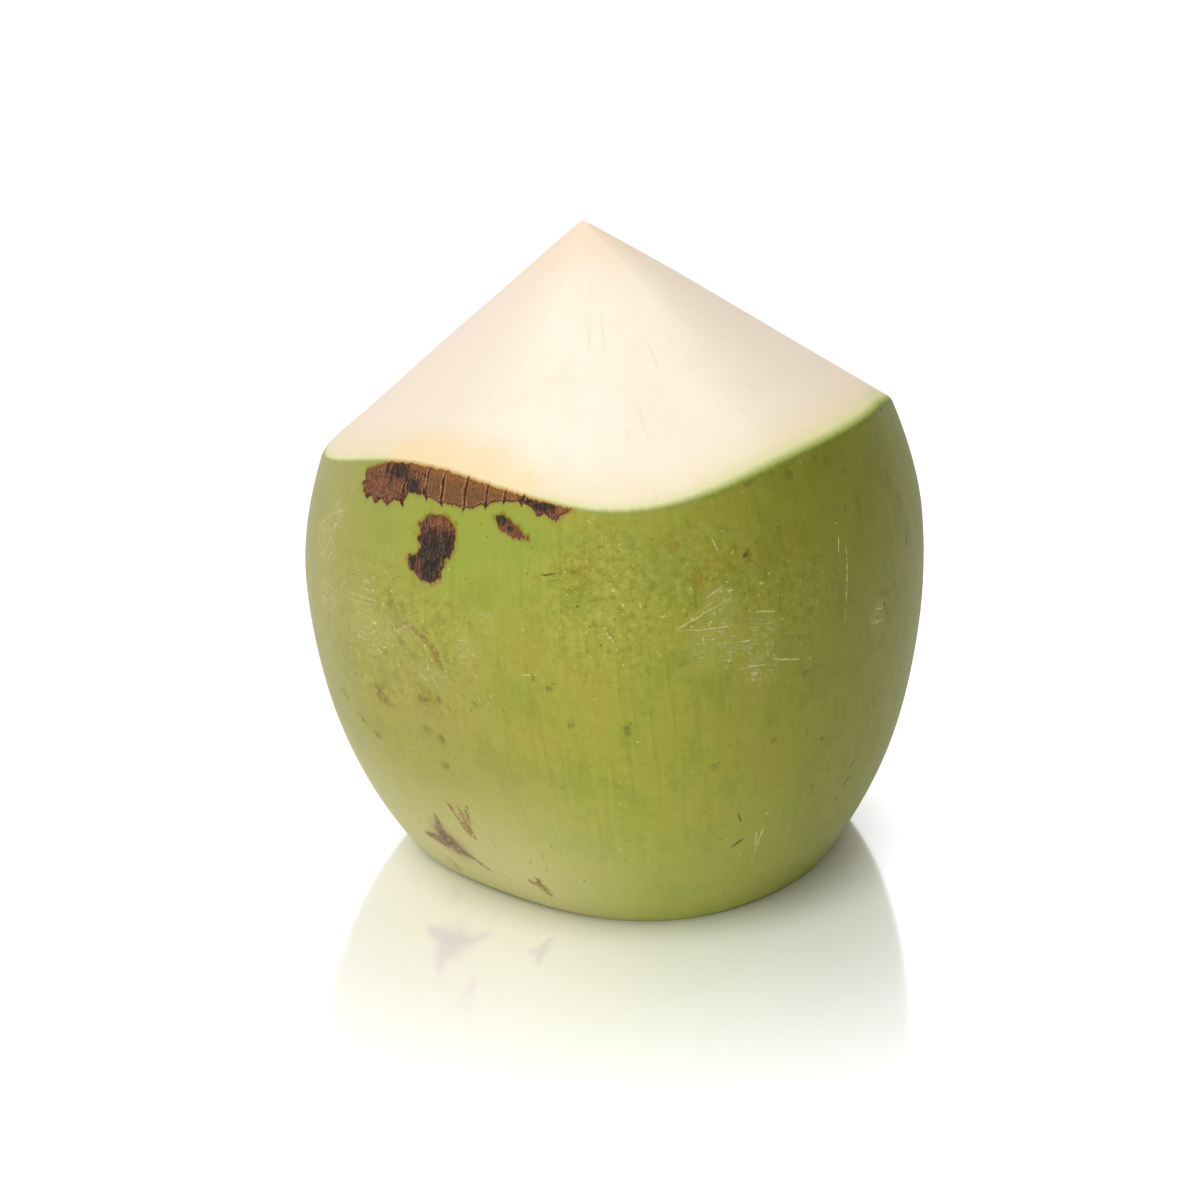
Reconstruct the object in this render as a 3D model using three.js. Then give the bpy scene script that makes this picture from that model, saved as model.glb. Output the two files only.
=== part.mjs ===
// A young green coconut, trimmed for drinking.
//
// The fruit grew as one piece: a smooth fibrous husk with three soft ridges that run from the
// stem to the crown. A knife has trimmed the crown to a pale cone, and has sliced a flat across
// the stem end, on which the fruit stands with its axis leaning a few degrees.
//
// Millimetres, +Z up. The origin is where the fruit's axis meets the flat that it stands on.

import * as THREE from 'three';
import { ParametricGeometry } from 'three/addons/geometries/ParametricGeometry.js';
import { mergeVertices } from 'three/addons/utils/BufferGeometryUtils.js';

const { clamp, degToRad, lerp } = THREE.MathUtils;

// The husk, in the fruit's own frame: Z is its axis, and Z = 0 is the waist, where it is widest.
const WAIST_RADIUS = 69; // before the ridges are added
const WAIST_TO_STEM = 103;
const WAIST_TO_CROWN = 88;
const STEM_FULLNESS = 2.05; // 2 is half an ellipse, and more is fuller
const CROWN_FULLNESS = 1.8;

// The ridges: direction about the axis from +X, in degrees, and height as a share of the radius.
const RIDGES = [
	{ direction: -89, height: 0.09 },
	{ direction: 40, height: 0.155 },
	{ direction: 175, height: 0.12 },
];
const RIDGE_SHARPNESS = 6;
const STEM_RIDGE_GAIN = 1.55; // the ridges stand this much prouder near the stem
const RIDGE_GAIN_START = -90; // height where that gain begins to fade
const RIDGE_GAIN_END = 60; // height where it is gone

// The trimmed cone. Its tip is a little off the fruit's axis.
const TIP = new THREE.Vector3( - 2.5, - 3, 85.5 );
const CONE_HALF_ANGLE = degToRad( 52 );

// How the fruit stands: the flat lies this far below the waist, and the crown leans to -X.
const WAIST_ABOVE_FLAT = 75.5;
const LEAN = degToRad( - 5.3 );

// The mesh: sides around the axis, and rows up the skin and up the cone.
const SIDES = 84;
const SKIN_ROWS = 18;
const CONE_ROWS = 5;
const FLAT_ROWS = 1;
const ROWS = FLAT_ROWS + SKIN_ROWS + CONE_ROWS;

const MERGE_DISTANCE = 1e-3;
const SOLVER_STEPS = 48;

// Places the fruit's own frame on the surface that it stands on.
const standing = new THREE.Matrix4().makeRotationY( LEAN );
standing.setPosition( WAIST_ABOVE_FLAT * Math.tan( LEAN ), 0, WAIST_ABOVE_FLAT );

/** How far all the ridges together raise the husk, as a share of its radius. */
function ridgeHeight( azimuth, height ) {

	const raised = RIDGES.reduce( ( sum, ridge ) => {

		const away = 1 - Math.cos( azimuth - degToRad( ridge.direction ) );
		return sum + ridge.height * Math.exp( - RIDGE_SHARPNESS * away );

	}, 0 );
	const faded = ( height - RIDGE_GAIN_START ) / ( RIDGE_GAIN_END - RIDGE_GAIN_START );
	return raised * lerp( STEM_RIDGE_GAIN, 1, clamp( faded, 0, 1 ) );

}

/** The point of the uncut husk in one direction, at one height above the waist. */
function huskPoint( azimuth, height ) {

	const belowWaist = height < 0;
	const span = belowWaist ? WAIST_TO_STEM : WAIST_TO_CROWN;
	const fullness = belowWaist ? STEM_FULLNESS : CROWN_FULLNESS;
	const round = WAIST_RADIUS * Math.sqrt( 1 - ( Math.abs( height ) / span ) ** fullness );
	const radius = round * ( 1 + ridgeHeight( azimuth, height ) );
	return new THREE.Vector3( radius * Math.cos( azimuth ), radius * Math.sin( azimuth ), height );

}

/** Above 0 outside the cone that the knife left, and below 0 inside it. */
function outsideCone( point ) {

	const fromTip = Math.hypot( point.x - TIP.x, point.y - TIP.y );
	return point.z - TIP.z + fromTip / Math.tan( CONE_HALF_ANGLE );

}

/** Above 0 above the flat that the fruit stands on. */
function aboveFlat( point ) {

	return point.clone().applyMatrix4( standing ).z;

}

/** The height in one direction where a cut crosses the husk, between low and high, by bisection. */
function cutHeight( azimuth, cut, low, high ) {

	for ( let step = 0; step < SOLVER_STEPS; step ++ ) {

		const middle = ( low + high ) / 2;
		if ( cut( huskPoint( azimuth, middle ) ) < 0 ) low = middle;
		else high = middle;

	}

	return ( low + high ) / 2;

}

/** A point of the whole surface: u goes round the axis, and v goes from the flat up to the tip. */
function surfacePoint( u, v, target ) {

	const azimuth = ( u % 1 ) * 2 * Math.PI;
	const row = Math.round( v * ROWS );
	if ( row === 0 ) return target.set( 0, 0, 0 );

	const rimHeight = cutHeight( azimuth, outsideCone, 0, WAIST_TO_CROWN );
	const upSkin = ( row - FLAT_ROWS ) / SKIN_ROWS;
	if ( upSkin <= 1 ) {

		const flatHeight = cutHeight( azimuth, aboveFlat, - WAIST_TO_STEM, 0 );
		target.copy( huskPoint( azimuth, lerp( flatHeight, rimHeight, upSkin ) ) );

	} else {

		const upCone = ( row - FLAT_ROWS - SKIN_ROWS ) / CONE_ROWS;
		target.lerpVectors( huskPoint( azimuth, rimHeight ), TIP, upCone );

	}

	target.applyMatrix4( standing );
	if ( row === FLAT_ROWS ) target.z = 0;
	return target;

}

/** Joins the seam and the poles of a parametric surface, and drops the faces that they flatten. */
function closedSurface( parametric ) {

	parametric.deleteAttribute( 'normal' );
	parametric.deleteAttribute( 'uv' );
	const geometry = mergeVertices( parametric, MERGE_DISTANCE );
	const corners = Array.from( geometry.index.array );
	const kept = [];
	for ( let i = 0; i < corners.length; i += 3 ) {

		const face = corners.slice( i, i + 3 );
		if ( new Set( face ).size === 3 ) kept.push( ...face );

	}

	geometry.setIndex( kept );
	geometry.computeVertexNormals();
	return geometry;

}

const huskGreen = new THREE.MeshStandardMaterial( {
	color: 0xa5a654,
	roughness: 0.5,
	metalness: 0,
} );

function makeCoconut() {

	const parametric = new ParametricGeometry( surfacePoint, SIDES, ROWS );
	const coconut = new THREE.Mesh( closedSurface( parametric ), huskGreen );
	coconut.name = 'green_coconut';
	return coconut;

}

const fruit = new THREE.Group();
fruit.add( makeCoconut() );

export default fruit;
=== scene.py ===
import math

import bpy
import numpy as np
from mathutils import Euler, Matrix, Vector, noise


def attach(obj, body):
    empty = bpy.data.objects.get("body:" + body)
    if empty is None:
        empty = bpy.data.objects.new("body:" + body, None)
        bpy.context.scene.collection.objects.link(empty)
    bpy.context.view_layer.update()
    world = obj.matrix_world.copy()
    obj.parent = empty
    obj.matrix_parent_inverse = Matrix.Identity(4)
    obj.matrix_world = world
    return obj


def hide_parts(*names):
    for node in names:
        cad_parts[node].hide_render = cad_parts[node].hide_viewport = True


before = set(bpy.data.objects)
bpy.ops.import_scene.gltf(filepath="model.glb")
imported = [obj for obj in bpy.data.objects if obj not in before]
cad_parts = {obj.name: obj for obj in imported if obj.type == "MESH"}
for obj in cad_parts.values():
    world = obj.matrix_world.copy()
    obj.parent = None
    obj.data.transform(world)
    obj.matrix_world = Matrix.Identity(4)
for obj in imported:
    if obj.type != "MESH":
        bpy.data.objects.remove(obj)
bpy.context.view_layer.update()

# The camera ------------------------------------------------------------------------------
# It stands a little over a metre away and looks down on the fruit by 20 degrees, through a long
# lens that keeps the sides of the fruit nearly upright.

MM = 0.001
CAMERA_TARGET = Vector((-13.2, 0, 62.8)) * MM
CAMERA_DISTANCE = 1100 * MM
CAMERA_ELEVATION = math.radians(20)
LENS_LENGTH = 133.6
SENSOR_WIDTH = 36

lens = bpy.data.cameras.new("camera")
lens.lens = LENS_LENGTH
lens.sensor_width = SENSOR_WIDTH
camera = bpy.data.objects.new("camera", lens)
bpy.context.scene.collection.objects.link(camera)
camera.location = CAMERA_TARGET + CAMERA_DISTANCE * Vector(
    (0, -math.cos(CAMERA_ELEVATION), math.sin(CAMERA_ELEVATION)))
camera.rotation_euler = Euler((math.pi / 2 - CAMERA_ELEVATION, 0, 0))
bpy.context.scene.camera = camera

# The coconut: shape ----------------------------------------------------------------------
# The whole fruit is one body of fibrous husk under a waxy green skin. A knife trimmed the crown
# to a pale cone and cut a flat across the stem end, and the fruit stands on that flat.
# Sizes are in millimetres in the fruit's own frame: Z is its axis and 0 is its waist.

WAIST_RADIUS = 69
WAIST_TO_STEM = 103
WAIST_TO_CROWN = 88
STEM_FULLNESS = 2.05
CROWN_FULLNESS = 1.8
RIDGES = ((-89, 0.09), (40, 0.155), (175, 0.12))  # direction, and height as a share of the radius
RIDGE_SHARPNESS = 6
STEM_RIDGE_GAIN = 1.55
RIDGE_GAIN_HEIGHTS = (-90, 60)
TIP = np.array((-2.5, -3.0, 85.5))
CONE_SLOPE = 1 / math.tan(math.radians(52))
WAIST_ABOVE_FLAT = 75.5
LEAN = math.radians(-5.3)

# One stroke of the knife is a little steeper: its middle, its half width, and the extra slope.
STEEP_STROKE = (-50, 55, 0.0115)

# The two cuts are looked for between these heights, by halving the gap.
LOWEST_CUT = -0.98 * WAIST_TO_STEM
HIGHEST_CUT = 0.99 * WAIST_TO_CROWN
HALVINGS = 40

SIDES = 352
FLAT_ROWS = 12
SKIN_ROWS = 100
CONE_ROWS = 48
ROWS = FLAT_ROWS + SKIN_ROWS + CONE_ROWS

# Where two strokes of the knife meet, the cone keeps a soft crease: its direction and its height.
CREASES = ((-41, 0.9), (24, 0.6), (88, 0.7), (150, 0.5), (-128, 0.25))
CREASE_REACH = 22
CREASE_ROUNDING = 3
CREASE_CROWDING = 0.65  # below 1, the creases stand highest nearer to the tip


def bump_around(azimuth, direction, sharpness):
    """1 in one direction about the axis, falling off smoothly on both sides."""
    return np.exp(sharpness * (np.cos(azimuth - math.radians(direction)) - 1))


def husk_radius(azimuth, height):
    """How far the uncut skin is from the axis."""
    below = height < 0
    span = np.where(below, WAIST_TO_STEM, WAIST_TO_CROWN)
    fullness = np.where(below, STEM_FULLNESS, CROWN_FULLNESS)
    level = np.clip(np.abs(height) / span, 0, 1)
    ridges = sum(share * bump_around(azimuth, direction, RIDGE_SHARPNESS) for direction, share in RIDGES)
    low, high = RIDGE_GAIN_HEIGHTS
    fade = np.clip((height - low) / (high - low), 0, 1)
    gain = STEM_RIDGE_GAIN + (1 - STEM_RIDGE_GAIN) * fade
    return WAIST_RADIUS * np.sqrt(1 - level ** fullness) * (1 + ridges * gain)


def husk_point(azimuth, height):
    radius = husk_radius(azimuth, height)
    return np.stack([radius * np.cos(azimuth), radius * np.sin(azimuth), height], axis=-1)


def to_stand(points):
    """From the fruit's own frame to the frame of the part, both in millimetres."""
    x, y, z = np.moveaxis(points, -1, 0)
    return np.stack([x * math.cos(LEAN) + z * math.sin(LEAN) + WAIST_ABOVE_FLAT * math.tan(LEAN), y,
                     z * math.cos(LEAN) - x * math.sin(LEAN) + WAIST_ABOVE_FLAT], axis=-1)


def to_fruit(points):
    """From the frame of the part back to the fruit's own frame, both in millimetres."""
    x = points[..., 0] - WAIST_ABOVE_FLAT * math.tan(LEAN)
    y, z = points[..., 1], points[..., 2] - WAIST_ABOVE_FLAT
    return np.stack([x * math.cos(LEAN) - z * math.sin(LEAN), y,
                     x * math.sin(LEAN) + z * math.cos(LEAN)], axis=-1)


def above_cone(points):
    """How far a point is above the knife's cone. The steeper stroke blends in at its two sides."""
    x, y, z = np.moveaxis(points - TIP, -1, 0)
    middle, half_width, steeper = STEEP_STROKE
    aside = np.clip(np.abs(np.degrees(np.arctan2(y, x)) - middle) / half_width, 0, 1)
    return z + np.hypot(x, y) * (CONE_SLOPE + steeper * (1 - aside ** 6) ** 2)


def above_flat(points):
    return to_stand(points)[..., 2]


def cut_height(azimuth, cut, low, high):
    """The height where a cut crosses the skin, between two other heights."""
    low, high = np.full_like(azimuth, low), np.full_like(azimuth, high)
    for _ in range(HALVINGS):
        middle = (low + high) / 2
        inside = cut(husk_point(azimuth, middle)) < 0
        low, high = np.where(inside, middle, low), np.where(inside, high, middle)
    return (low + high) / 2


def crease_relief(azimuth, down):
    """How proud the creases stand, for a share of the way down the cone."""
    relief = 0
    for direction, height in CREASES:
        turn = (np.degrees(azimuth) - direction + 180) % 360 - 180
        relief = relief + height * np.exp((CREASE_ROUNDING - np.hypot(turn, CREASE_ROUNDING)) / CREASE_REACH)
    return relief * np.sin(math.pi * down ** CREASE_CROWDING)


def locations(mesh):
    flat = np.empty(len(mesh.vertices) * 3)
    mesh.vertices.foreach_get("co", flat)
    return flat.reshape(-1, 3)


def relocate(mesh, points):
    mesh.vertices.foreach_set("co", np.ascontiguousarray(points).ravel())
    mesh.update()


bpy.ops.object.select_all(action="DESELECT")
bpy.ops.mesh.primitive_uv_sphere_add(segments=SIDES, ring_count=ROWS, radius=WAIST_RADIUS * MM)
coconut = bpy.context.active_object
coconut.name = coconut.data.name = "coconut"

ball = locations(coconut.data)
azimuth = np.arctan2(ball[:, 1], ball[:, 0])
polar = np.arctan2(np.hypot(ball[:, 0], ball[:, 1]), -ball[:, 2])
row = np.rint(polar / math.pi * ROWS)

flat_height = cut_height(azimuth, above_flat, LOWEST_CUT, 0.0)
rim_height = cut_height(azimuth, above_cone, 0.0, HIGHEST_CUT)
flat_edge = husk_point(azimuth, flat_height)
rim = husk_point(azimuth, rim_height)
flat_centre = to_fruit(np.zeros(3))

across_flat = np.clip(row / FLAT_ROWS, 0, 1)[:, None]
up_skin = np.clip((row - FLAT_ROWS) / SKIN_ROWS, 0, 1)
up_cone = np.clip((row - FLAT_ROWS - SKIN_ROWS) / CONE_ROWS, 0, 1)[:, None]
on_flat = flat_centre + (flat_edge - flat_centre) * across_flat
on_skin_rows = husk_point(azimuth, flat_height + (rim_height - flat_height) * up_skin)
on_cone = rim + (TIP - rim) * up_cone
cone_azimuth = np.arctan2(on_cone[:, 1] - TIP[1], on_cone[:, 0] - TIP[0])
on_cone[:, 2] += crease_relief(cone_azimuth, 1 - up_cone[:, 0])
shaped = np.where((row < FLAT_ROWS)[:, None], on_flat,
                  np.where((row <= FLAT_ROWS + SKIN_ROWS)[:, None], on_skin_rows, on_cone))
relocate(coconut.data, to_stand(shaped) * MM)


def edit(select_mode, chosen):
    """Opens the coconut's mesh for editing with the chosen edges or faces selected."""
    mesh = coconut.data
    bpy.ops.object.mode_set(mode="EDIT")
    bpy.ops.mesh.select_mode(type=select_mode)
    bpy.ops.mesh.select_all(action="DESELECT")
    bpy.ops.object.mode_set(mode="OBJECT")
    items = {"EDGE": mesh.edges, "FACE": mesh.polygons}[select_mode]
    items.foreach_set("select", chosen)
    bpy.ops.object.mode_set(mode="EDIT")


def edges_round(row_number):
    """Which edges run round the fruit on one row of the mesh."""
    ends = np.empty(len(coconut.data.edges) * 2, dtype=int)
    coconut.data.edges.foreach_get("vertices", ends)
    return (row[ends.reshape(-1, 2)] == row_number).all(axis=1)


# Both knife edges are crisp, and rounded by a hair.
RIM_ROUNDING = 0.9 * MM
ROUNDING_STEPS = 4
edit("EDGE", edges_round(FLAT_ROWS) | edges_round(FLAT_ROWS + SKIN_ROWS))
bpy.ops.mesh.bevel(offset=RIM_ROUNDING, segments=ROUNDING_STEPS, profile=0.5)
bpy.ops.object.mode_set(mode="OBJECT")

# The coconut: corky scabs ----------------------------------------------------------------
# Brown scar tissue of the skin: a cracked band under the rim, and patches below it. It grew where
# the young fruit was rubbed, stands a little proud of the skin, and frays along the fibres.
# A place on the skin is an azimuth in degrees and a height above the waist in millimetres.

BAND_TOP = (
    (-153.4, 36.4), (-150, 38.0), (-147, 39.4), (-142.5, 40.8), (-124, 40.6), (-118.5, 39.4), (-110, 38.2),
    (-104, 36.7), (-98.5, 35.4))
BAND_BOTTOM = (
    (-153.4, 31.8), (-151.2, 30.2), (-150.2, 31.2), (-148.2, 29.6), (-146.6, 31.2), (-144, 30.2),
    (-142.4, 31.8), (-139.8, 31.6), (-138, 34.3), (-134.5, 34.5), (-128.5, 33.6), (-121, 33.6), (-116, 35.0),
    (-113.5, 36.0), (-108.5, 36.2), (-106.5, 35.2), (-105.2, 33.3), (-103.5, 33.9), (-101.3, 32.4),
    (-98.5, 34.6))
CELLS = (  # where a crack starts a new cell, and how pale that cell is
    (-139.6, 0.2), (-133, 0.95), (-128.4, 1.0), (-122.2, 0.95), (-116.8, 0.9), (-112.6, 0.8), (-108.4, 0.1))
FIRST_CELL_PALENESS = 0.25
END_CELL_SIZE = 3  # degrees from the last crack at either end to where its cell is half over
PATCH_OUTLINE = (
    (-131.0, 30.8), (-126.5, 31.0), (-124.2, 29.8), (-123.5, 26.2), (-124.0, 23.8), (-126.0, 20.4),
    (-127.0, 17.0), (-129.2, 15.2), (-132.2, 16.0), (-135.0, 17.2), (-136.3, 19.5), (-136.0, 20.8),
    (-133.8, 21.6), (-132.2, 23.4), (-134.0, 24.5), (-132.6, 26.0), (-133.8, 28.2), (-132.2, 29.4))
CHIP_OUTLINE = (
    (-114.6, 32.8), (-113.0, 33.5), (-110.9, 32.4), (-109.0, 30.4), (-107.0, 28.2), (-109.4, 28.2),
    (-112.8, 30.0))
BACK_OUTLINE = ((98.0, 30.0), (101.5, 32.5), (104.5, 28.0), (103.5, 23.5), (100.5, 22.0), (99.5, 26.5))
OUTLINES = (PATCH_OUTLINE, CHIP_OUTLINE, BACK_OUTLINE)
CHARS = (  # blackened places: azimuth, height, half width and half height in millimetres
    (-142.2, 38.6, 2.5, 2.2), (-137.0, 35.8, 2.5, 2.0), (-146.2, 38.4, 0.6, 2.0), (-107.4, 36.6, 2.0, 0.9),
    (-103.6, 35.3, 2.6, 1.1), (-129.6, 22.5, 4.2, 5.8), (-125.2, 24.0, 1.9, 4.8), (-129.6, 17.6, 3.0, 3.0),
    (-134.2, 19.4, 1.4, 1.6), (-131.4, 29.4, 0.3, 1.4), (-112.8, 31.8, 1.8, 1.4), (-110.6, 30.2, 0.9, 0.8),
    (-150.6, 31.0, 0.8, 0.7), (-146.8, 30.8, 0.9, 0.8), (-144.4, 37.6, 0.5, 2.4), (101.8, 28.0, 1.4, 2.6))
RUSTY_HEIGHTS = (26.5, 29)  # the patches are rusty above these heights
SCAB_MARGIN = 2.2
SCAB_CUTS = 3
SCAB_HEIGHT = 0.45
CRACK_DEPTH = 0.25
CRACK_WIDTH = 0.24
SPIKE = 1.1  # at a crack the band's edge runs out into a spike: its length and its width
SPIKE_WIDTH = 0.34
FRAY = 0.3
CRACK_WANDER = 0.6
ON_CUT = 0.25  # how deep under the skin a scab still shows on the cut
CUT_SLANT = 0.54  # depth gained for each millimetre up the cone
RIM_RADIUS = 64  # turns degrees into millimetres round the fruit, near the rim
SLANT = 1.12  # turns height into millimetres along the skin, near the rim

# Fibrous noise: the width and the length of its cells in millimetres, and its seed.
FINE_FRAY = (0.7, 1.6, 1.5)
BROAD_FRAY = (2.1, 2.4, 7.5)
BROAD_FRAY_SHARE = 0.9
END_FRAY = (1.5, 0.7, 5.5)
WANDER = (2.5, 2.0, 3.5)
SCALES = (0.9, 1.2, 11.5)


def skin_plane(azimuth_degrees, height):
    """Millimetres round the fruit and up the skin, near the scabs."""
    return np.stack([np.radians(azimuth_degrees) * RIM_RADIUS, np.asarray(height) * SLANT], axis=-1)


def inside_outline(places, outline):
    """How far places are inside an outline, in millimetres, and below 0 outside it."""
    corners = skin_plane(*np.array(outline).T)
    nearest = np.full(len(places), np.inf)
    inside = np.zeros(len(places), dtype=bool)
    for a, b in zip(corners, np.roll(corners, -1, axis=0)):
        along = b - a
        share = np.clip((places - a) @ along / (along @ along), 0, 1)
        nearest = np.minimum(nearest, np.linalg.norm(places - a - share[:, None] * along, axis=1))
        crosses = (a[1] > places[:, 1]) != (b[1] > places[:, 1])
        if along[1]:
            inside ^= crosses & (places[:, 0] < a[0] + (places[:, 1] - a[1]) * along[0] / along[1])
    return np.where(inside, nearest, -nearest)


def inside_patches(places):
    return np.max([inside_outline(places, outline) for outline in OUTLINES], axis=0)


def band_gaps(places):
    """Millimetres from the band's top edge, from its bottom edge and from its nearer end."""
    top, bottom = (skin_plane(*np.array(side).T).T for side in (BAND_TOP, BAND_BOTTOM))
    around, up = places.T
    return (np.interp(around, *top) - up, up - np.interp(around, *bottom),
            np.minimum(around - top[0, 0], top[0, -1] - around))


def fruit_places(points):
    """For points in metres: azimuth and height in the fruit's frame, and depth below the uncut skin."""
    points = to_fruit(points / MM)
    around = np.arctan2(points[:, 1], points[:, 0])
    out = np.hypot(points[:, 0], points[:, 1])
    return np.degrees(around), points[:, 2], husk_radius(around, points[:, 2]) - out


def near_scabs(azimuth_degrees, height, depth):
    near = (height > 0) & (depth < SCAB_MARGIN)
    places = skin_plane(azimuth_degrees[near], height[near])
    near[near] = np.maximum(np.min(band_gaps(places), axis=0), inside_patches(places)) > -SCAB_MARGIN
    return near


centres = np.empty(len(coconut.data.polygons) * 3)
coconut.data.polygons.foreach_get("center", centres)
edit("FACE", near_scabs(*fruit_places(centres.reshape(-1, 3))))
bpy.ops.mesh.subdivide(number_cuts=SCAB_CUTS)
bpy.ops.object.mode_set(mode="OBJECT")


def fibre_noise(places, across, along, seed):
    """Noise from -1 to 1 with cells of one width across the fibres and another length along them."""
    return np.array([noise.noise(Vector((x / across, y / along, seed))) for x, y in places])


def smooth(value, low, high):
    share = np.clip((value - low) / (high - low), 0, 1)
    return share * share * (3 - 2 * share)


azimuth, height, depth = fruit_places(locations(coconut.data))
near = near_scabs(azimuth, height, depth)
places = skin_plane(azimuth[near], height[near])
fray = fibre_noise(places, *FINE_FRAY) + BROAD_FRAY_SHARE * fibre_noise(places, *BROAD_FRAY)
scaly = fibre_noise(places, *SCALES)

# Cells are numbered along the band, with a whole number at each crack.
cracks, cell_paleness = np.array(CELLS).T
crack_places = np.radians((cracks[0] - END_CELL_SIZE, *cracks, cracks[-1] + END_CELL_SIZE)) * RIM_RADIUS
crack_numbers = (0.5, *range(1, len(cracks) + 1), len(cracks) + 0.5)
wander = CRACK_WANDER * fibre_noise(places, *WANDER)
cell = np.interp(places[:, 0] + wander, crack_places, crack_numbers)
cell_width = np.gradient(crack_places, crack_numbers)
from_crack = np.abs(cell - np.rint(cell)) * np.interp(cell, crack_numbers, cell_width)
paleness = np.append(FIRST_CELL_PALENESS, cell_paleness)[np.floor(cell).astype(int)]

# The band ends at the rim, and its edge is frayed, with a spike at each crack.
top_gap, bottom_gap, end_gap = band_gaps(places)
end_gap += fibre_noise(places, *END_FRAY)
below_rim = -above_cone(to_fruit(locations(coconut.data)[near] / MM))
rim_gap = (ON_CUT - depth[near]) / CUT_SLANT + np.maximum(below_rim, 0)
spike = SPIKE * np.exp(-(from_crack / SPIKE_WIDTH) ** 2)
in_band = np.min([top_gap, rim_gap + 0.4 * spike, bottom_gap + spike, end_gap], axis=0) + FRAY * fray
in_patch = inside_patches(places) + 2 * FRAY * fray
inside = np.maximum(in_band, in_patch)
banded = smooth(in_band - in_patch, -0.2, 0.2)

# The cork is cracked between its cells, black in places, pale inside the cells and rusty near the rim.
cracked = banded * (1 - smooth(from_crack, 0.4 * CRACK_WIDTH, 1.6 * CRACK_WIDTH))
charred = np.zeros(len(places))
for char_azimuth, char_height, half_width, half_height in CHARS:
    offset = (places - skin_plane(char_azimuth, char_height)) / (half_width, half_height)
    charred = np.maximum(charred, 1 - smooth(np.hypot(*offset.T) + 0.2 * fray, 0.6, 1.45))
paleness = banded * paleness * smooth(np.minimum(from_crack, in_band) + 0.2 * fray, 0.1, 0.9)
band_rust = 1 - smooth(np.minimum(top_gap, below_rim) + 0.3 * fray, 0.1, 0.9)
patch_rust = 0.45 - 0.45 * smooth(in_patch, 0.1, 0.7) + smooth(places[:, 1] / SLANT, *RUSTY_HEIGHTS) * 0.4
rusty = np.where(banded > 0.5, band_rust, patch_rust)
rise = smooth(inside, -0.1, 0.45) * (1 - smooth(depth[near], 0.1, 0.5))
rise *= SCAB_HEIGHT + (0.1 * scaly + 0.08 * fray) * (1 - 0.75 * paleness)
rise -= CRACK_DEPTH * cracked * smooth(inside, -0.6, 0.2)

# The husk isn't turned on a lathe: its skin and its cuts wander by a few tenths of a millimetre.
SWELL = 0.35
SWELL_SIZE = 32
SWELL_FADE = 8  # the swell fades out this low above the flat, which stays level
swell = np.array([noise.noise(point / SWELL_SIZE) for point in map(Vector, locations(coconut.data) / MM)])
swell *= SWELL * smooth(locations(coconut.data)[:, 2] / MM, 0, SWELL_FADE)
swell[near] += rise
normals = np.empty(len(azimuth) * 3)
coconut.data.vertices.foreach_get("normal", normals)
relocate(coconut.data, locations(coconut.data) + normals.reshape(-1, 3) * swell[:, None] * MM)


def paint(name, values, elsewhere=None):
    """Stores a number or a vector for each vertex, for the materials to read. Values given only
    near the scabs come with the number that holds elsewhere."""
    if elsewhere is not None:
        painted = np.full(len(azimuth), float(elsewhere))
        painted[near] = values
        values = painted
    kind, key = ("FLOAT_VECTOR", "vector") if values.ndim == 2 else ("FLOAT", "value")
    layer = coconut.data.attributes.new(name, kind, "POINT")
    layer.data.foreach_set(key, values.astype(np.float32).ravel())


# What the finish reads is cut off where it needs no more of it.
DEEP = 20
FAR_FROM_SCABS = -3
WELL_INSIDE = 2
BETWEEN_CRACKS = 0.5  # the cell number that is furthest from a crack
paint("depth", np.clip(depth, 0, DEEP))
paint("scab", np.clip(inside, FAR_FROM_SCABS, WELL_INSIDE), FAR_FROM_SCABS)
paint("cell", np.where(banded > 0.5, cell, BETWEEN_CRACKS), BETWEEN_CRACKS)
paint("char", charred, 0)
paint("pale", paleness, 0)
paint("rust", np.clip(rusty, 0, 1), 0)
for face in coconut.data.polygons:
    face.use_smooth = True

# The coconut: marks ----------------------------------------------------------------------
# What the skin picked up on the tree and in the crate: stains, smudges, old brown scratches, pale
# new ones, and rubbed spots. Each is laid out on the mesh, and the finish draws its fine lines.

# Spots: azimuth, height and radius.
FRESH_SKIN = ((-142, 34, 30), (-118, 30, 28), (30, 20, 34))
DULL_SKIN = ((-140, -30, 60), (-158, -5, 34), (-135, -50, 34), (120, -30, 60))
WEATHERED_SKIN = (
    (-146, 0, 30), (-130, 0, 24), (-92, 14, 26), (-72, 12, 26), (-58, 8, 20), (-28, -8, 14), (50, 5, 40),
    (110, 10, 34), (155, -5, 40))
SHALLOW_CUT = ((7, 33, 12), (-1, 33, 8))
YELLOWED_CUT = ((-142, 41, 12), (-132, 42, 14), (-120, 41, 14), (-110, 40, 8))
STAINS = (
    (-71, 20, 6), (-75, 16, 5), (-55, 18.5, 6), (-63, 18.5, 5), (-79.5, 26, 4), (-141, 9, 3.5), (-138, 7, 3),
    (-97, 22, 5), (-138, 4.5, 5), (-144, -56, 3), (-150, -67, 4), (-133, -14, 7), (-147, -17, 6),
    (-130, -3, 5), (-8, 8, 8), (60, 10, 9), (142, -20, 8), (12, -30, 8))
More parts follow.
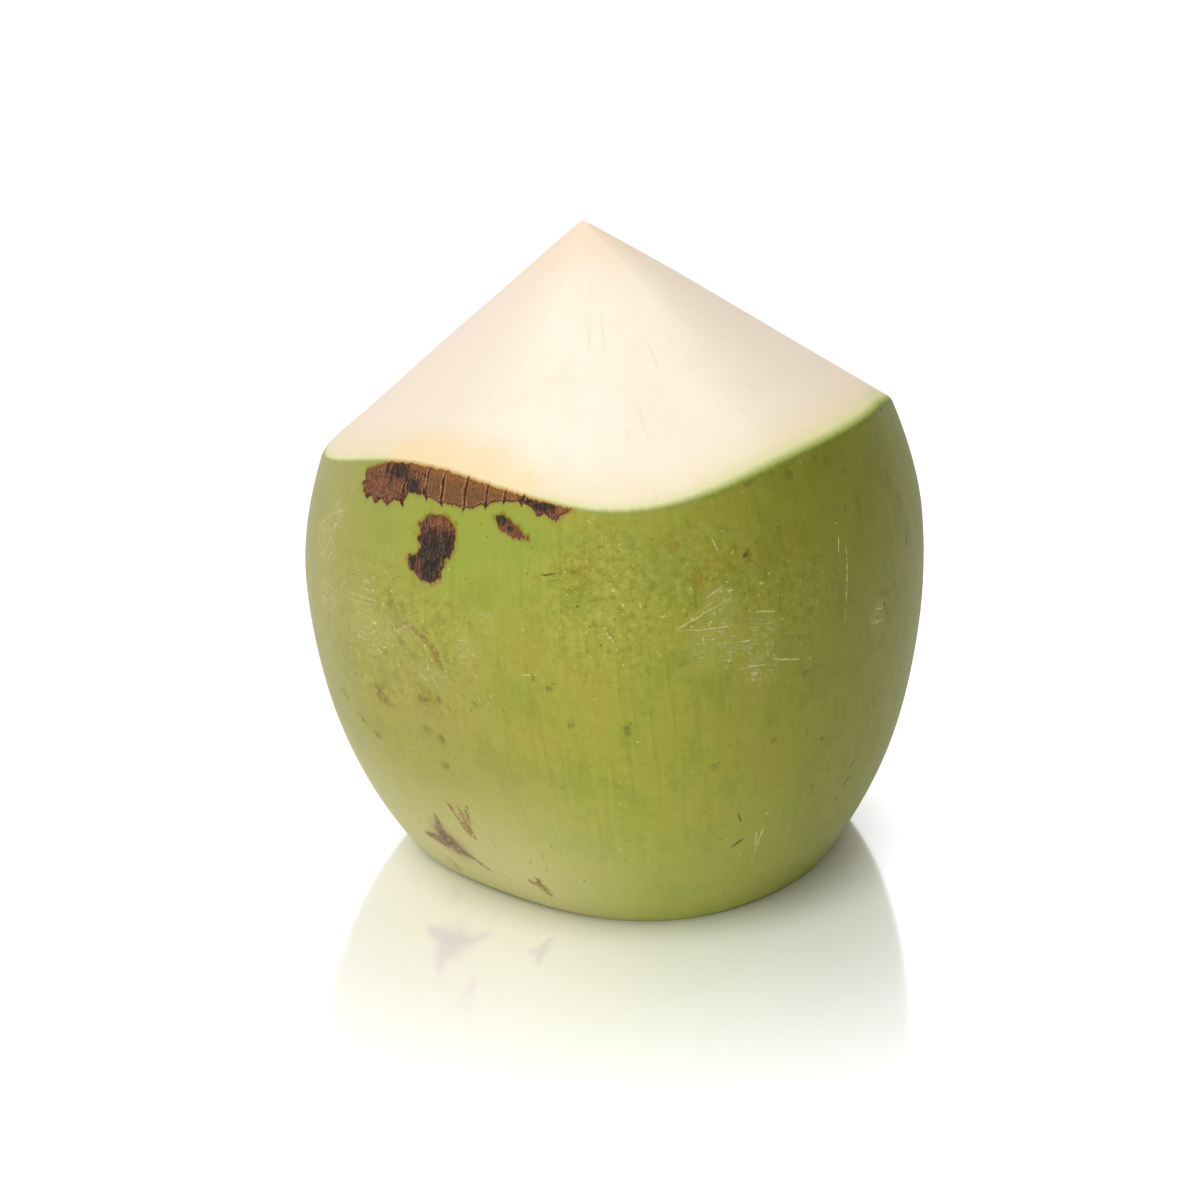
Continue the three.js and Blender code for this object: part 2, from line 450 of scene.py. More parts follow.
SMUDGES = (
    (-148, -16, 3), (-146, -18.5, 3.5), (-134, -14.5, 3.5), (-130.5, -13.5, 2.5), (-121, -13, 2.5),
    (-135, -23, 2.5), (-131.5, -24.5, 2.5), (-157, -27, 3), (-153, -30, 2.5), (-138, -1, 3), (-104, -6, 2.5),
    (-101, -15, 2.5), (-91, -17, 2.8), (-107, -4, 2), (-61.5, 34, 2.5), (-50.5, 33, 3), (-38.5, 32, 2.5),
    (-42, 34, 2), (-34, 27.5, 3), (-33, 23, 2), (-32.5, 19, 3.5), (-37, 20, 2), (-6.5, 8.5, 3),
    (-57, 22, 2.5), (-65, 19, 3), (-55, -13.5, 2.5), (-63, -28, 2), (-16, -30.5, 2), (-26, -9, 3),
    (-54, -30, 2), (-76, -30, 2.5), (-39, -19, 2), (-32, -36, 2), (-51, -46, 2.5), (-132.5, -32, 2.5),
    (-17, 20, 7), (-13, 12, 6), (-11, 5, 5), (30, 0, 3), (70, 10, 4), (110, -12, 4), (145, 20, 3),
    (160, -30, 3), (20, -35, 3), (85, -28, 3))
SPECKLED_SKIN = (
    (-99, 24, 8), (-97, 20.5, 9), (-92, 24, 12), (-88, 20, 9), (-58, 22, 12), (-40, 28, 14), (100, 0, 18))
SPOT_CORE = 0.15  # share of a spot's radius where it is at its full strength

# Tapered strokes: from a place, to a place, and half the width in millimetres at each of them.
BRUISES = (
    ((-143, -49.5), (-144.5, -55.5), 0.6, 3.0), ((-144.5, -55.5), (-141.5, -59), 3.4, 3.8),
    ((-141.5, -59), (-137, -61.5), 3.2, 0.6), ((-152, -58), (-145, -58.5), 0.8, 3.0),
    ((-138, -60.5), (-132.5, -64.5), 0.8, 0.5), ((150, 6), (158, 12), 0.7, 0.4))
SCRAPES = (
    ((-135.8, -44.5), (-133.0, -52), 1.1, 1.3), ((-133, -44), (-132, -53), 0.9, 1.1),
    ((-130.3, -43.5), (-131.8, -50), 0.9, 0.8), ((-121, -63.5), (-117, -65), 0.6, 1.8),
    ((-117.5, -62.5), (-116, -67), 1.4, 1.9), ((-117, -65.5), (-114.5, -68), 1.5, 0.6),
    ((-137.5, 5), (-132, 2), 0.9, 1.2), ((-132, 2), (-129, -1.5), 1.2, 1.7),
    ((-129, -1.5), (-127.5, -5.5), 1.4, 0.8), ((64, -20), (70, -34), 0.4, 0.8))
OUTSIDE_STROKES = -9.0

# Thin lines: from a place, to a place, and half the width in millimetres.
BROWN_LINES = (
    ((-157, -10), (-153, -5), 0.22), ((-76, 20.5), (-75, 9.5), 0.24), ((-71.5, 26), (-71, 20.5), 0.16),
    ((-133, -30), (-132, -34), 0.3), ((-132, -62.8), (-125.5, -66), 0.3), ((-126.5, -50), (-126, -56), 0.25),
    ((-113, -53), (-113, -55), 0.35), ((-113.2, -57.4), (-113.4, -59.6), 0.35),
    ((-117, -56), (-117, -57.6), 0.3), ((-109.8, -50), (-109.8, -51), 0.3))
DARK_LINES = (
    ((-72, -55), (-69, -53), 0.45), ((-71, -45), (-70, -48), 0.25), ((-38.5, -52), (-36, -49), 0.45),
    ((-13, 4), (-13, 0.5), 0.6), ((-28, -6.5), (-28, -9.5), 0.4), ((-5, 32), (-2.5, 32.5), 0.4),
    ((-37.5, -47), (-35, -45), 0.4), ((-31, -30), (-31, -33), 0.35), ((-21, -19), (-21, -20.5), 0.4),
    ((-50, -32.5), (-50, -33.5), 0.45), ((-163, -21), (-161, -24), 0.25),
    ((-104.5, 20.5), (-101.5, 21), 0.35), ((-66.5, 19), (-65, 19.5), 0.5), ((44, -8), (46, -12), 0.5),
    ((100, -40), (104, -41), 0.4))
PALE_LINES = (
    ((-170, 18), (-163, 23.5), 0.2), ((-164, 23), (-157, 26.5), 0.18), ((-163, 19), (-160.5, 22), 0.15),
    ((-155, 7), (-144, 7.5), 0.15), ((-154, 5.5), (-146, 6), 0.12), ((-140, 1), (-134, 5), 0.12),
    ((-81.5, 6), (-73.5, 9.5), 0.16), ((-76, 8.5), (-69.5, 11), 0.15), ((-81.5, 6), (-70, 4), 0.13),
    ((-75, 12), (-71, 14), 0.18), ((-65.5, 6), (-61, 4.5), 0.2), ((-70, 0), (-67, -0.5), 0.2),
    ((-62.5, -7), (-56, -9.5), 0.2), ((-70, -6.5), (-64, -7.5), 0.13), ((-41.5, 15.5), (-42.5, 11), 0.22),
    ((-39.5, 13), (-42.5, -2), 0.18), ((-42.5, -2), (-43.5, -6), 0.12), ((-33, -10), (-29.5, -11), 0.22),
    ((-32, -7), (-28, -8.5), 0.16), ((-64, -51), (-66, -59), 0.3), ((-66, -52), (-66, -57), 0.2),
    ((-72, 25.5), (-71, 21), 0.15), ((-110, -3.5), (-106, -3), 0.15), ((15, 12), (26, 10), 0.25),
    ((-18, 24), (-17.5, 17), 0.12), ((-20, 14), (-19.5, 9), 0.12), ((118, -5), (126, 6), 0.25),
    ((70, 30), (86, 22), 0.25))
REACH_OF_LINES = 3.0

# Rubbed spots: azimuth, height, radius, and the heading of their fine lines in degrees from level.
RUBBED = (
    (-150, 7, 8, 4), (-149, 0, 9, -3), (-142, 1, 6, -12), (-165, 16, 8, 40), (-161, 24, 5, 40),
    (-163, 4, 7, 0), (-137, 2, 6, -40), (-131, -8, 6, -30), (-121, 1, 5, 0), (-116, 8, 4, 0),
    (-74, 1, 9, -10), (-65, -1, 8, -16), (-65, -7.5, 7, -16), (-72, 10, 6, 30), (-31, -9, 5, -20),
    (52, -12, 8, 5), (140, 18, 7, -30), (104, -8, 6, 50))
RUB_CORE = 0.3
RIM_REACH = 6  # how far below the rim the skin still knows how near it is


def on_skin(azimuth_degrees, height):
    return husk_point(math.radians(azimuth_degrees), float(height))


def blots(spots):
    """For each vertex, 1 about the middle of a spot, fading to 0 at its radius."""
    strongest = np.zeros(len(azimuth))
    for spot_azimuth, spot_height, radius in spots:
        away = np.linalg.norm(fruit_points - on_skin(spot_azimuth, spot_height), axis=1)
        strongest = np.maximum(strongest, 1 - smooth(away / radius, SPOT_CORE, 1))
    return strongest


def strokes(spots):
    """For each vertex, how far it is inside a tapered stroke as a share of its half width."""
    deepest = np.full(len(azimuth), OUTSIDE_STROKES)
    for start, end, start_width, end_width in spots:
        a, b = on_skin(*start), on_skin(*end)
        share = np.clip((fruit_points - a) @ (b - a) / ((b - a) @ (b - a)), 0, 1)
        away = np.linalg.norm(fruit_points - a - share[:, None] * (b - a), axis=1)
        deepest = np.maximum(deepest, 1 - away / (start_width + (end_width - start_width) * share))
    return deepest


def lay_lines(name, marks):
    """Lays lines out on the mesh, in as many layers as keep them apart. Each vertex near a line gets
    how many millimetres it is aside, how far along in half lengths, and the half width."""
    layers = []
    for start, end, width in marks:
        a, b = on_skin(*start), on_skin(*end)
        middle, half = (a + b) / 2, np.linalg.norm(b - a) / 2
        along = (b - a) / (2 * half)
        across = np.cross(along, middle * (1, 1, 0))
        across /= np.linalg.norm(across)
        offset = fruit_points - middle
        share = np.clip(offset @ along, -half, half)
        close = np.linalg.norm(offset - share[:, None] * along, axis=1) < REACH_OF_LINES
        laid = np.stack([offset @ across, offset @ along / half, np.full(len(offset), width)], axis=1)
        free = [layer for layer in layers if not layer[close, 2].any()]
        if not free:
            free = [np.zeros((len(azimuth), 3))]
            layers.append(free[0])
        free[0][close] = laid[close]
    for number, layer in enumerate(layers):
        paint(f"{name} {number}", layer)
    return len(layers)


def lay_rubbing(name, spots):
    """Lays rubbed spots out: millimetres along and across their lines, and how rubbed the skin is."""
    layer = np.zeros((len(azimuth), 3))
    for spot_azimuth, spot_height, radius, heading in spots:
        middle = on_skin(spot_azimuth, spot_height)
        turn, side = math.radians(heading), math.radians(spot_azimuth)
        around = np.array((-math.sin(side), math.cos(side), 0))
        offset = fruit_points - middle
        along = around * math.cos(turn) + np.array((0, 0, math.sin(turn)))
        across = np.array((0, 0, math.cos(turn))) - around * math.sin(turn)
        how_rubbed = 1 - smooth(np.linalg.norm(offset, axis=1) / radius, RUB_CORE, 1)
        close = how_rubbed > layer[:, 2]
        layer[close] = np.stack([offset @ along, offset @ across, how_rubbed], axis=1)[close]
    paint(name, layer)


fruit_points = to_fruit(locations(coconut.data) / MM)
paint("fresh", blots(FRESH_SKIN))
paint("dull", blots(DULL_SKIN))
paint("weathered", blots(WEATHERED_SKIN))
paint("shallow", blots(SHALLOW_CUT))
paint("yellowed", blots(YELLOWED_CUT))
paint("stain", blots(STAINS))
paint("smudge", blots(SMUDGES))
paint("speckled", blots(SPECKLED_SKIN))
paint("bruise", strokes(BRUISES))
paint("scrape", strokes(SCRAPES))
paint("below rim", np.clip(-above_cone(fruit_points), 0, RIM_REACH))
brown_layers = lay_lines("brown lines", BROWN_LINES)
dark_layers = lay_lines("dark lines", DARK_LINES)
pale_layers = lay_lines("pale lines", PALE_LINES)
lay_rubbing("rubbed", RUBBED)

# The coconut: finish ---------------------------------------------------------------------
# Waxy green skin over cream-coloured husk. All of it is one growing body, so it is one material,
# and masks choose between the skin, the cut husk and the scabs. Each colour is built up in coats,
# as a painter would, and every coat comes with how much it hides of what is under it.


def shade(red, green, blue):
    """A colour as a paint chart gives it, turned into the light values that materials use."""
    values = (v / 255 for v in (red, green, blue))
    return tuple(v / 12.92 if v <= 0.04045 else ((v + 0.055) / 1.055) ** 2.4 for v in values) + (1.0,)


class Wire:
    """A socket of a material. Sums of wires and numbers add Math nodes to it."""

    def __init__(self, finish, socket):
        self.finish, self.socket = finish, socket

    def math(self, operation, *values):
        return self.finish.add("ShaderNodeMath", {"operation": operation}, values)

    def __add__(self, other):
        return self.math("ADD", self, other)

    def __radd__(self, other):
        return self.math("ADD", other, self)

    def __sub__(self, other):
        return self.math("SUBTRACT", self, other)

    def __rsub__(self, other):
        return self.math("SUBTRACT", other, self)

    def __mul__(self, other):
        return self.math("MULTIPLY", self, other)

    def __rmul__(self, other):
        return self.math("MULTIPLY", other, self)

    def __truediv__(self, other):
        return self.math("DIVIDE", self, other)

    def __abs__(self):
        return self.math("ABSOLUTE", self)

    def __pow__(self, other):
        return self.math("POWER", self, other)

    def most(self, other):
        return self.math("MAXIMUM", self, other)

    def least(self, other):
        return self.math("MINIMUM", self, other)

    def between(self, low, high):
        """0 up to low, 1 from high, and smooth in between. It falls instead when low is above high."""
        return self.finish.add("ShaderNodeMapRange", {"interpolation_type": "SMOOTHSTEP"},
                               {"Value": self, "From Min": low, "From Max": high})


class Finish:
    """The nodes of a material, or of the light of the room."""

    def __init__(self, owner):
        self.owner = owner
        owner.use_nodes = True
        self.tree = owner.node_tree
        self.tree.nodes.clear()

    def add(self, kind, settings, values, output=0):
        """Adds a node: settings first, then its sockets' values or wires. Returns one output."""
        node = self.tree.nodes.new(kind)
        for name, value in settings.items():
            setattr(node, name, value)
        for key, value in (values.items() if isinstance(values, dict) else enumerate(values)):
            socket = node.inputs[key]
            if isinstance(value, Wire):
                self.tree.links.new(value.socket, socket)
            else:
                socket.default_value = value
        return Wire(self, node.outputs[output]) if node.outputs else node

    def attribute(self, name, output="Fac"):
        return self.add("ShaderNodeAttribute", {"attribute_name": name}, {}, output)

    def split(self, vector):
        """The three numbers of a vector."""
        node = self.add("ShaderNodeSeparateXYZ", {}, (vector,)).socket.node
        return [Wire(self, socket) for socket in node.outputs]

    def vector(self, operation, *values):
        return self.add("ShaderNodeVectorMath", {"operation": operation}, values)

    def measure(self, operation, *values):
        """A Vector Math node that gives a number, such as a distance."""
        return self.add("ShaderNodeVectorMath", {"operation": operation}, values, "Value")

    def mix(self, share, a, b):
        """Colour a where share is 0 and colour b where it is 1."""
        a_socket, b_socket, result = 6, 7, 2  # the node's sockets for colours come after its others
        return self.add("ShaderNodeMix", {"data_type": "RGBA"}, {0: share, a_socket: a, b_socket: b}, result)

    def coats(self, colour, *layers):
        """Lays coats over a colour, each given as its share and its own colour."""
        for share, coat in layers:
            colour = self.mix(share, colour, coat)
        return colour

    def noise(self, place, scale, detail, rough=0.5):
        return self.add("ShaderNodeTexNoise", {}, {
            "Vector": place, "Scale": scale, "Detail": detail, "Roughness": rough}, "Fac")


husk = Finish(bpy.data.materials.new("green husk"))
body = husk.add("ShaderNodeTexCoord", {}, {}, "Object")
# The place in the fruit's own frame, in millimetres.
fruit = husk.add("ShaderNodeMapping", {"vector_type": "TEXTURE"},
                 {"Vector": body, "Scale": (MM, MM, MM), "Rotation": (0, LEAN, 0),
                  "Location": (WAIST_ABOVE_FLAT * math.tan(LEAN) * MM, 0, WAIST_ABOVE_FLAT * MM)})
fruit_x, fruit_y, fruit_z = husk.split(fruit)
from_axis = (fruit_x * fruit_x + fruit_y * fruit_y) ** 0.5
side_x, side_y = fruit_x / from_axis, fruit_y / from_axis  # 1 or -1 where the husk faces that axis


def along_fibres(across, along):
    """A place stretched along the fibres: across and along are cell sizes in millimetres."""
    return husk.add("ShaderNodeCombineXYZ", {}, (
        side_x * (WAIST_RADIUS / across), side_y * (WAIST_RADIUS / across), fruit_z / along))


def lines(name, layers, wobble):
    """Draws the lines laid out on the mesh, thinner towards their ends and a little wobbly."""
    drawn = 0.0
    for number in range(layers):
        aside, along, width = husk.split(husk.attribute(f"{name} {number}", "Vector"))
        line = (abs(aside + wobble) / width.most(0.05) + along ** 4).between(1.15, 0.4)
        drawn = (line * width.between(0.02, 0.1)).most(drawn)
    return drawn


# Fibres run from end to end of the fruit. Blotches are centimetres wide, mottle and grain millimetres.
under_skin = husk.attribute("depth")
weathered = husk.attribute("weathered")
fine_fibres = husk.noise(along_fibres(0.34, 9), 1, 2, 0.6)
broad_fibres = husk.noise(along_fibres(1.7, 32), 1, 2, 0.6)
blotches = husk.noise(fruit, 0.09, 3, 0.6)
mottle = husk.noise(fruit, 0.5, 4, 0.7)
grain = husk.noise(fruit, 0.85, 2, 0.6)

# The skin, from young green to a riper olive, with its fibres faintly showing through the wax.
YOUNG_GREEN = shade(158, 163, 60)
RIPE_GREEN = shade(163, 158, 60)
DEEP_GREEN = shade(134, 134, 46)
OLIVE = shade(126, 120, 40)
LIGHT_OLIVE = shade(180, 180, 92)
PALE_FIBRE = shade(206, 204, 120)
DARK_FIBRE = shade(100, 106, 30)
PALE_STREAK = shade(176, 176, 92)
DARK_STREAK = shade(112, 112, 34)
FRESH_GREEN = shade(148, 168, 66)
rough_mottle = (mottle - 0.5) * (0.55 + weathered)
skin = husk.coats(
    YOUNG_GREEN,
    (blotches.between(0.36, 0.64), RIPE_GREEN),
    (blotches.between(0.52, 0.36) * 0.35, DEEP_GREEN),
    (rough_mottle.between(0.0, 0.24) * 0.6, OLIVE),
    (rough_mottle.between(0.0, -0.2) * 0.45, LIGHT_OLIVE),
    (fine_fibres.between(0.5, 0.8) * 0.14, PALE_FIBRE),
    (fine_fibres.between(0.48, 0.2) * 0.16, DARK_FIBRE),
    (broad_fibres.between(0.56, 0.72) * 0.14, PALE_STREAK),
    (broad_fibres.between(0.44, 0.3) * 0.14, DARK_STREAK),
    (husk.attribute("fresh") * 0.6, FRESH_GREEN))

# Painted shade darkens the right side, where the room is dim, a little less low down. The skin turns tan
# towards the left and in dull spots, the stem end is paler and dry, and a painted sheen lightens the far
# left edge.
SHADE_GREEN = shade(100, 102, 22)
SHADE_TINT = (0.38, 0.4, 0.2)  # what a darker skin leaves of the red, green and blue
TAN = shade(168, 154, 88)
STEM_GREEN = shade(160, 169, 86)
STEM_STRAW = shade(210, 202, 142)
PAINTED_SHEEN = shade(180, 184, 172)
# Painted shade: the skin on the right side is darkened, a little less towards the stem end.
shaded_side = side_x.between(-0.25, 0.9) * (0.75 + 0.25 * fruit_z.between(-60, 10))
skin = husk.mix(shaded_side * 0.45, skin, SHADE_GREEN)
skin = husk.coats(
    skin,
    (shaded_side * 0.5, husk.vector("MULTIPLY", skin, SHADE_TINT)),
    (side_x.between(-0.55, -1.0).most(husk.attribute("dull")) * 0.4, TAN),
    (fruit_z.between(-25, -72) * side_x.between(1.1, 0.0) * 0.45, STEM_GREEN),
    (fruit_z.between(-25, -70) * side_x.between(0.1, -0.6) * 0.75, STEM_STRAW),
    # Painted sheen: a pale grey strip along the far left edge.
    (side_x.between(-0.86, -1.0) * 0.14, PAINTED_SHEEN))

# Stains, smudges and specks.
BRONZE = shade(140, 119, 36)
GRIME = shade(94, 86, 32)
smudge = husk.attribute("smudge")
smudged = (smudge + (mottle - 0.5) * 2.4 + (grain - 0.5) * 1.2).between(0.45, 1.05) * 0.45
specks = (grain - weathered * 0.02 - smudge * 0.12).between(0.3, 0.255) * 0.6
flecks = husk.noise(fruit, 1.6, 2).between(0.48, 0.34) * husk.attribute("speckled") * 0.27
skin = husk.coats(
    skin,
    (husk.attribute("stain") * mottle.between(0.35, 0.6) * 0.5, BRONZE),
    (smudged.most(specks.most(flecks)), GRIME))

# Rubbed spots, bruises, old brown scratches, pale new ones and nicks.
RUBBED_WAX = shade(206, 204, 150)
BRUISE_EDGE = shade(158, 130, 98)
BRUISE = shade(112, 74, 66)
DRY_SCRAPE = shade(138, 102, 56)
OLD_SCRATCH = shade(150, 130, 64)
DARK_SCRATCH = shade(74, 66, 28)
NEW_SCRATCH = shade(222, 216, 160)
RIM_GREEN = shade(84, 104, 26)
RUB_LENGTH, RUB_WIDTH = 5, 0.3  # of the fine lines of a rubbed spot, in millimetres
uneven = (mottle - 0.5) * 1.2
broken = grain.between(0.4, 0.56)
broad_gaps = mottle.between(0.42, 0.6)
ragged = uneven * 0.7 + (fine_fibres - 0.5) * 0.9
bruised = husk.attribute("bruise") + ragged
scraped = husk.attribute("scrape") + ragged
rub_along, rub_across, rub_share = husk.split(husk.attribute("rubbed", "Vector"))
rub_place = husk.add("ShaderNodeCombineXYZ", {}, (
    rub_along / RUB_LENGTH, (rub_across + uneven * 0.5) / RUB_WIDTH, 0.0))
rubbed = husk.noise(rub_place, 1, 2, 0.6).between(0.5, 0.66) * (rub_share * 2 * broad_gaps).least(1)
rubbed = rubbed * (0.15 + 0.4 * broken + side_x.between(-0.3, -0.7) * 0.25)
nicks = (grain + weathered * 0.06).between(0.725, 0.76) * side_x.between(1.1, -0.2) * 0.85
scratched = lines("pale lines", pale_layers, uneven * 0.6) * (0.2 + 0.6 * broken)
light_marks = scratched.most(rubbed).most(nicks)
near_rim = (husk.attribute("below rim") + (mottle - 0.5) * 1.5).between(1.0, 0.2)
skin = husk.coats(
    skin,
    (rub_share * broad_gaps * 0.12, RUBBED_WAX),
    (bruised.between(-0.9, 0.1) * 0.35, BRUISE_EDGE),
    (bruised.between(0.0, 0.6) * (0.55 + 0.3 * broken), BRUISE),
    (scraped.between(0.0, 0.5) * (0.2 + 0.6 * broken), DRY_SCRAPE),
    (lines("brown lines", brown_layers, uneven) * (0.2 + 0.4 * broken), OLD_SCRATCH),
    (lines("dark lines", dark_layers, uneven) * 0.8, DARK_SCRATCH),
    (light_marks * 0.8, NEW_SCRATCH),
    (near_rim * side_x.between(-0.3, 0.6) * broad_gaps * 0.6, RIM_GREEN))

# The cut husk of the cone, peach-coloured at the tip, with threads of pith. Painted shade darkens both of
# its flanks.
CREAM = shade(250, 240, 220)
PITH = shade(240, 214, 150)
PEACH = shade(246, 218, 188)
SHADED_CREAM_LEFT = shade(236, 220, 202)
SHADED_CREAM_RIGHT = shade(231, 212, 191)
BUTTER = shade(234, 216, 152)
APRICOT = shade(252, 212, 150)
yellowed = husk.attribute("yellowed")
to_tip = husk.measure("DISTANCE", fruit, tuple(TIP))
flesh = husk.coats(
    CREAM,
    (husk.noise(along_fibres(2.4, 11), 1, 1).between(0.66, 0.78) * 0.35, PITH),
    ((blotches.between(0.4, 0.7) * 0.2).most(side_x.between(-0.3, -1.0) * 0.3), PEACH),
    # Painted shade on the left and right flanks of the cone, in the next two coats.
    (side_x.between(-0.3, -0.9) * 0.7, SHADED_CREAM_LEFT),
    (side_x.between(0.4, 1.0) * 0.6, SHADED_CREAM_RIGHT),
    (to_tip.between(26, 2) * 0.75, PEACH),
    (under_skin.between(8, 1.5) * 0.35, BUTTER),
    (yellowed * 0.45, APRICOT))

# The cut at the stem end is older and has dried brown.
DRY_STRAW = shade(226, 206, 160)
DRY_BROWN = shade(176, 138, 88)
DRY_TAN = shade(196, 168, 112)
stem_cut = husk.coats(
    DRY_STRAW,
    (grain.between(0.4, 0.62) * 0.5, DRY_BROWN),
    (blotches.between(0.35, 0.7) * 0.5, DRY_TAN))
flesh = husk.mix(fruit_z.between(-2, 2), stem_cut, flesh)

# Both cuts turn green towards the skin, in a broader line on the right side.
SHALLOW_GREEN = shade(200, 204, 164)
LIME = shade(222, 220, 156)
RIND = shade(150, 164, 76)
edge = under_skin + (fine_fibres - 0.5) * 0.35 + (mottle - 0.5) * 0.3
green_edge = edge * (1 - side_x.between(-0.3, 0.6) * 0.45)
flesh = husk.coats(
    flesh,
    (husk.attribute("shallow") * under_skin.between(5, 1) * 0.9, SHALLOW_GREEN),
    (green_edge.between(2.0, 0.5) * (0.8 - 0.7 * yellowed), LIME),
    (green_edge.between(0.9, 0.1), RIND))

# The scabs: fibrous cork, smoother in the cells of the band, with a rusty stain round them.
STAINED_SKIN = shade(140, 88, 34)
STAINED_CUT = shade(222, 160, 90)
DARK_CORK = shade(74, 40, 29)
CORK = shade(138, 88, 60)
LIGHT_CORK = shade(178, 132, 104)
CORK_FLECK = shade(190, 148, 120)
DARK_CELL = shade(104, 70, 41)
LIGHT_CELL = shade(142, 99, 62)
CELL_RING = shade(176, 132, 84)
RUST = shade(152, 96, 54)
COAL = shade(48, 38, 32)
ASH = shade(98, 84, 68)
CRACK_HIGHLIGHT = shade(196, 154, 100)
CRACK = shade(50, 28, 18)
CORK_EDGE = shade(84, 44, 28)
frayed = husk.attribute("scab") + (husk.noise(along_fibres(0.3, 1.3), 1, 2, 0.7) - 0.5) * 1.6
rust = husk.attribute("rust")
halo = (frayed + (mottle - 0.5) * 1.2).between(-1.1, 0.1) * (0.25 + 0.55 * rust)
skin = husk.mix(halo, skin, STAINED_SKIN)
flesh = husk.mix(halo, flesh, STAINED_CUT)

cork_fibres = husk.noise(along_fibres(0.45, 2.6), 1, 3, 0.65)
cork_scales = husk.noise(fruit, 1.5, 4, 0.7)
slivers = cork_fibres * 0.6 + cork_scales * 0.4
cell_number = husk.attribute("cell")
off_crack = abs(cell_number - cell_number.math("ROUND", cell_number)) + (cork_scales - 0.5) * 0.1
# A painted highlight: a pale line along the lip beside each crack.
crack_highlight = off_crack.between(0.02, 0.07) * off_crack.between(0.15, 0.08)
in_cell = husk.attribute("pale")
charcoal = husk.mix((cork_fibres * 0.5 + cork_scales * 0.5).between(0.46, 0.66), COAL, ASH)
cork = husk.coats(
    husk.mix(slivers.between(0.45, 0.56), DARK_CORK, CORK),
    (slivers.between(0.56, 0.66) * 0.7, LIGHT_CORK),
    (husk.noise(fruit, 2.4, 1).between(0.6, 0.7) * 0.6, CORK_FLECK),
    (in_cell, husk.mix(cork_scales.between(0.3, 0.75), DARK_CELL, LIGHT_CELL)),
    (in_cell.between(0.2, 0.5) * in_cell.between(0.9, 0.6) * 0.5, CELL_RING),
    (rust * cork_fibres.between(0.2, 0.5) * 0.7, RUST),
    (husk.attribute("char"), charcoal),
    # The painted highlight beside each crack.
    (crack_highlight * cork_fibres.between(0.5, 0.62) * 0.7, CRACK_HIGHLIGHT),
    (off_crack.between(0.06, 0.015) * 0.8, CRACK),
    (frayed.between(0.75, 0.1) * (0.85 - 0.5 * rust), CORK_EDGE))

# Each surface has its own sheen and relief. Heights are in millimetres.
SHEEN = {"IOR": 1.45, "Specular IOR Level": 0.19}
skin_relief = fine_fibres * 0.02
cork_relief = cork_fibres * (0.16 - 0.14 * in_cell) + cork_scales * (0.14 - 0.1 * in_cell)


def raised(height):
    return husk.add("ShaderNodeBump", {}, {"Strength": 1.0, "Distance": MM, "Height": height})


def surface(colour, roughness, **sockets):
    return husk.add("ShaderNodeBsdfPrincipled", {}, {
        "Base Color": colour, "Roughness": roughness, **SHEEN, **sockets})


skin_surface = surface(skin, 0.5 + light_marks * 0.25 + (mottle - 0.5) * 0.15, Normal=raised(skin_relief))
cut_surface = surface(flesh, 0.8)
cork_surface = surface(cork, 0.75, Normal=raised(cork_relief))
sound_husk = husk.add("ShaderNodeMixShader", {}, (edge.between(0.5, 0.05), cut_surface, skin_surface))
whole_husk = husk.add("ShaderNodeMixShader", {}, (frayed.between(-0.06, 0.1), sound_husk, cork_surface))
husk.add("ShaderNodeOutputMaterial", {}, {"Surface": whole_husk})

coconut.data.materials.clear()
coconut.data.materials.append(husk.owner)
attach(coconut, "root")
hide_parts("green_coconut")

# The studio ------------------------------------------------------------------------------
# A wide pale table, polished where the fruit stands, in a pale room with a broad soft window in
# front. It is staging, and no part of the coconut. Its sizes are in metres.

TABLE_RADIUS = 8
TABLE_SIDES = 96
TABLE_BELOW = 0.2 * MM
TABLE_WHITE = (0.95, 0.95, 0.95, 1)
TABLE_GLOW = 0.26  # lifts the table to white, except in the shade right under the fruit
SHADED_OUT_TO = 46 * MM
GLOWS_FROM = 70 * MM
POLISHED_OUT_TO = 190 * MM
POLISH = 0.62
BLACK = (0, 0, 0, 1)
WHITE = (1, 1, 1, 1)

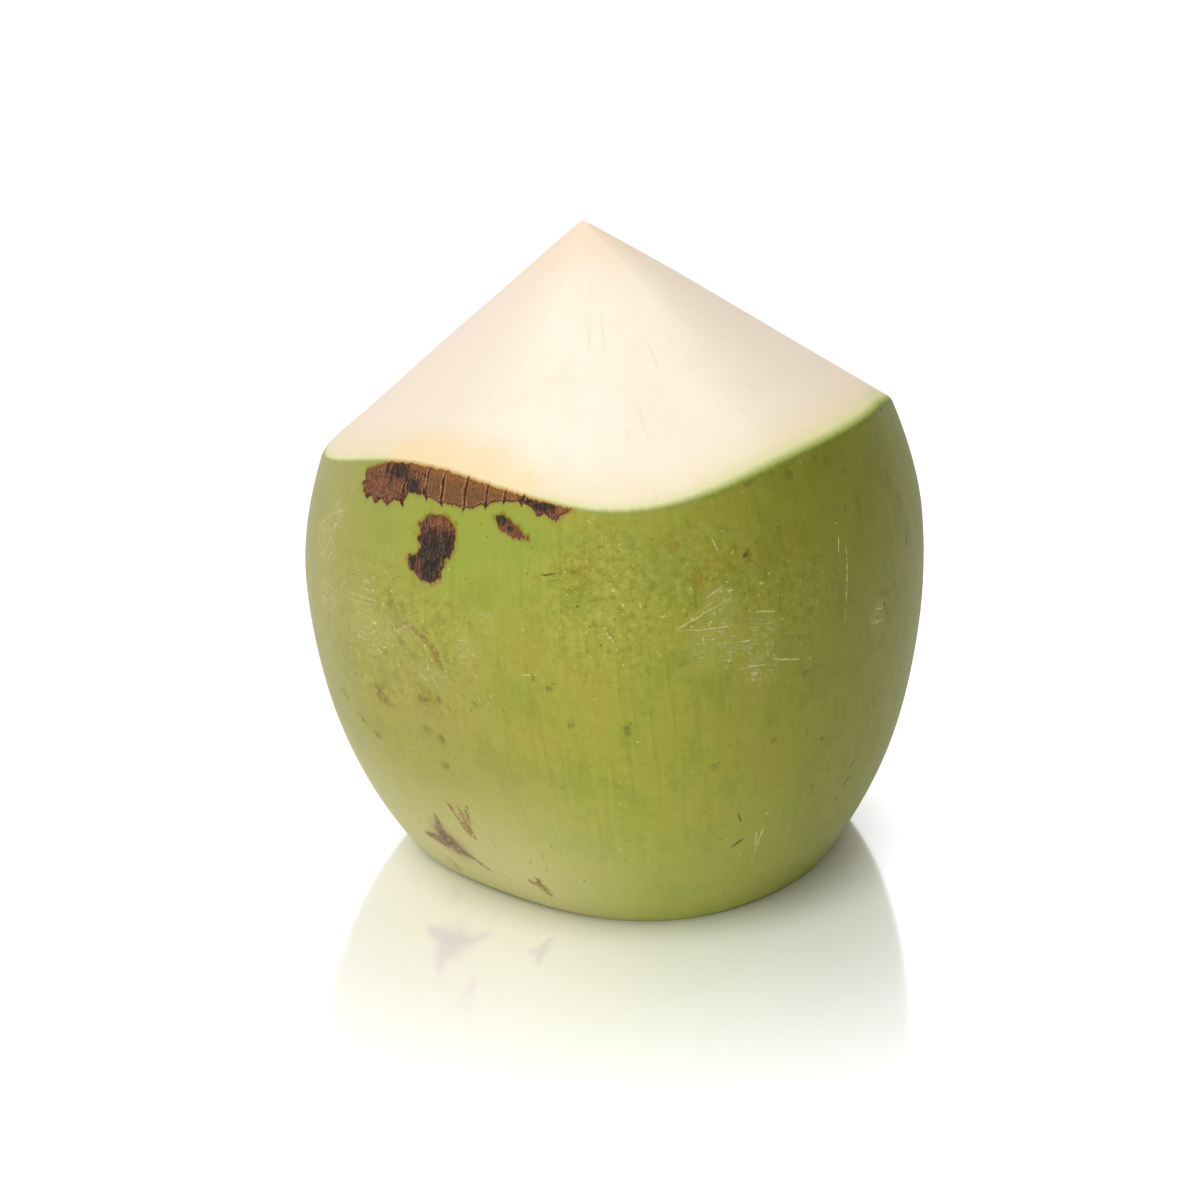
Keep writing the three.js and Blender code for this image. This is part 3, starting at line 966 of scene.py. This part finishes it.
bpy.ops.object.select_all(action="DESELECT")
bpy.ops.mesh.primitive_circle_add(vertices=TABLE_SIDES, radius=TABLE_RADIUS, fill_type="NGON",
                                  location=(0, 0, -TABLE_BELOW))
table = bpy.context.active_object
table.name = "table"
top = Finish(bpy.data.materials.new("pale table"))
from_middle = top.measure("LENGTH", top.add("ShaderNodeTexCoord", {}, {}, "Object"))
polish = from_middle.between(POLISHED_OUT_TO, 0.25 * POLISHED_OUT_TO) * POLISH
board = top.add("ShaderNodeBsdfPrincipled", {}, {
    "Base Color": TABLE_WHITE, "Roughness": 0.1, "IOR": 1.3, "Metallic": polish,
    "Emission Color": top.mix(from_middle.between(SHADED_OUT_TO, GLOWS_FROM), BLACK, WHITE),
    "Emission Strength": TABLE_GLOW})
top.add("ShaderNodeOutputMaterial", {}, {"Surface": board})
table.data.materials.append(top.owner)

# The room is brightest behind the fruit and overhead, and dim on the right.
WINDOW_STRENGTH = 0.95
WINDOW_SOFTNESS = math.radians(60)
WINDOW_TURN = Euler((math.radians(60), 0, math.radians(-4)))
FRONT_LIGHT = 0.38
BACK_LIGHT = 0.58
RIGHT_DIMMING = 0.9
CEILING_LIGHT = 1.15

sun = bpy.data.lights.new("window", "SUN")
sun.energy = WINDOW_STRENGTH
sun.angle = WINDOW_SOFTNESS
window = bpy.data.objects.new("window", sun)
window.rotation_euler = WINDOW_TURN
bpy.context.scene.collection.objects.link(window)

room = bpy.data.worlds.new("room")
bpy.context.scene.world = room
air = Finish(room)
outward = air.add("ShaderNodeTexCoord", {}, {}, "Generated")
to_right = air.measure("DOT_PRODUCT", outward, (0.97, -0.2, 0)).between(-0.1, 0.6)
to_back = air.measure("DOT_PRODUCT", outward, (0, 1, 0)).between(-0.2, 0.3)
overhead = air.measure("DOT_PRODUCT", outward, (0, 0, 1)).between(0.35, 0.8)
wall_light = (FRONT_LIGHT + BACK_LIGHT * to_back) * (1 - to_right * RIGHT_DIMMING)
room_light = wall_light + (CEILING_LIGHT - wall_light) * overhead
light = air.add("ShaderNodeBackground", {}, {"Color": WHITE, "Strength": room_light})
air.add("ShaderNodeOutputWorld", {}, {"Surface": light})
bpy.context.scene.view_settings.view_transform = "Standard"
